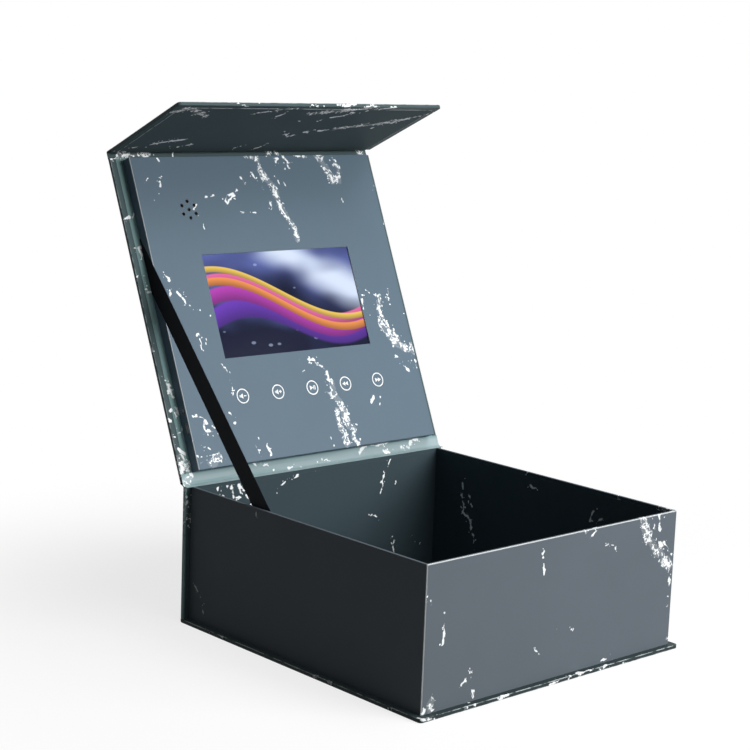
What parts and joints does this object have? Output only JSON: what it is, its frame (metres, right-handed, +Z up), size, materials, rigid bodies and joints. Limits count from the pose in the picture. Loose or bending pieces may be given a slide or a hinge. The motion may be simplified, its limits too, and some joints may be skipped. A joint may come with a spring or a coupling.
{
  "type": "video presentation box",
  "caption": "Rigid hinged-lid presentation box with a display, keys and speaker in the lid and a magnetic closing flap on the lid's free edge.",
  "frame": {"origin": "centre of the bottom board's underside, on the surface that the box stands on", "axes": "+X to the right along the lid's hinge, +Y to the back towards the hinge, +Z up; drawn with the lid open"},
  "size_m": [0.2726, 0.3809, 0.4],
  "materials": {
    "marbled_paper": "satin",
    "grey_board": "matte",
    "gummed_tape": "matte",
    "block_filler": "matte",
    "black_ribbon": "satin",
    "bezel_steel": "satin",
    "screen_glass": "gloss",
    "light_guide": "gloss",
    "circuit_board": "satin",
    "chip_black": "matte",
    "key_black": "satin",
    "plunger_white": "satin",
    "switch_black": "matte",
    "knob_grey": "satin",
    "inlet_steel": "satin",
    "speaker_steel": "satin",
    "cone_paper": "matte",
    "magnet_nickel": "satin",
    "cell_pouch": "satin"
  },
  "bodies": {
    "base": {"bottom_board": "grey_board", "bottom_wrap": "marbled_paper", "spine_board": "grey_board", "spine_wrap": "marbled_paper", "tray_floor": "grey_board", "tray_front_wall": "grey_board", "tray_back_wall": "grey_board", "tray_left_wall": "grey_board", "tray_right_wall": "grey_board", "corner_tapes": "gummed_tape", "tray_wrap": "marbled_paper", "tray_lining": "marbled_paper", "front_keepers": "magnet_nickel", "sensor_magnet": "magnet_nickel", "hinge_outer_strip": "marbled_paper", "hinge_lining_strip": "marbled_paper", "stay_ribbon": "black_ribbon"},
    "lid": {"battery": "cell_pouch", "block_frame": "block_filler", "board_chips": "chip_black", "display_backlight": "light_guide", "display_bezel": "bezel_steel", "display_glass": "screen_glass", "flap_hinge_strip": "marbled_paper", "key_board": "circuit_board", "key_switches": "switch_black", "lid_board": "grey_board", "lid_lining": "marbled_paper", "lid_sensor": "chip_black", "lid_wrap": "marbled_paper", "main_board": "circuit_board", "panel_board": "grey_board", "panel_wrap": "marbled_paper", "power_switch_body": "chip_black", "speaker_cone": "cone_paper", "speaker_frame": "speaker_steel", "speaker_magnet": "magnet_nickel", "usb_inlet": "inlet_steel"},
    "flap": {"flap_board": "grey_board", "flap_wrap": "marbled_paper", "flap_lining": "marbled_paper", "flap_magnets": "magnet_nickel"},
    "power_knob": {"power_knob": "knob_grey"},
    "key_1": {"key_cap_1": "key_black", "key_plunger_1": "plunger_white"},
    "key_2": {"key_cap_2": "key_black", "key_plunger_2": "plunger_white"},
    "key_3": {"key_cap_3": "key_black", "key_plunger_3": "plunger_white"},
    "key_4": {"key_cap_4": "key_black", "key_plunger_4": "plunger_white"},
    "key_5": {"key_cap_5": "key_black", "key_plunger_5": "plunger_white"}
  },
  "joints": [
    {"name": "lid_hinge", "type": "hinge", "parent": "base", "child": "lid", "pos_m": [0, 0.1356, 0.1088], "axis": [-1, 0, 0], "range_deg": [-113.3, 0], "deforming": ["stay_ribbon", "hinge_outer_strip", "hinge_lining_strip"]},
    {"name": "flap_hinge", "type": "hinge", "parent": "lid", "child": "flap", "pos_m": [0, 0.24165, 0.35504], "axis": [-1, 0, 0], "range_deg": [-1.4, 178.6], "deforming": ["flap_hinge_strip"]},
    {"name": "key_1_press", "type": "slide", "parent": "lid", "child": "key_1", "axis": [0, 0.9184, -0.3955], "range_m": [0, 0.00025], "stiffness_N_per_m": 400},
    {"name": "key_2_press", "type": "slide", "parent": "lid", "child": "key_2", "axis": [0, 0.9184, -0.3955], "range_m": [0, 0.00025], "stiffness_N_per_m": 400},
    {"name": "key_3_press", "type": "slide", "parent": "lid", "child": "key_3", "axis": [0, 0.9184, -0.3955], "range_m": [0, 0.00025], "stiffness_N_per_m": 400},
    {"name": "key_4_press", "type": "slide", "parent": "lid", "child": "key_4", "axis": [0, 0.9184, -0.3955], "range_m": [0, 0.00025], "stiffness_N_per_m": 400},
    {"name": "key_5_press", "type": "slide", "parent": "lid", "child": "key_5", "axis": [0, 0.9184, -0.3955], "range_m": [0, 0.00025], "stiffness_N_per_m": 400},
    {"name": "power_knob_slide", "type": "slide", "parent": "lid", "child": "power_knob", "axis": [0, -0.3955, -0.9184], "range_m": [0, 0.002]}
  ]
}
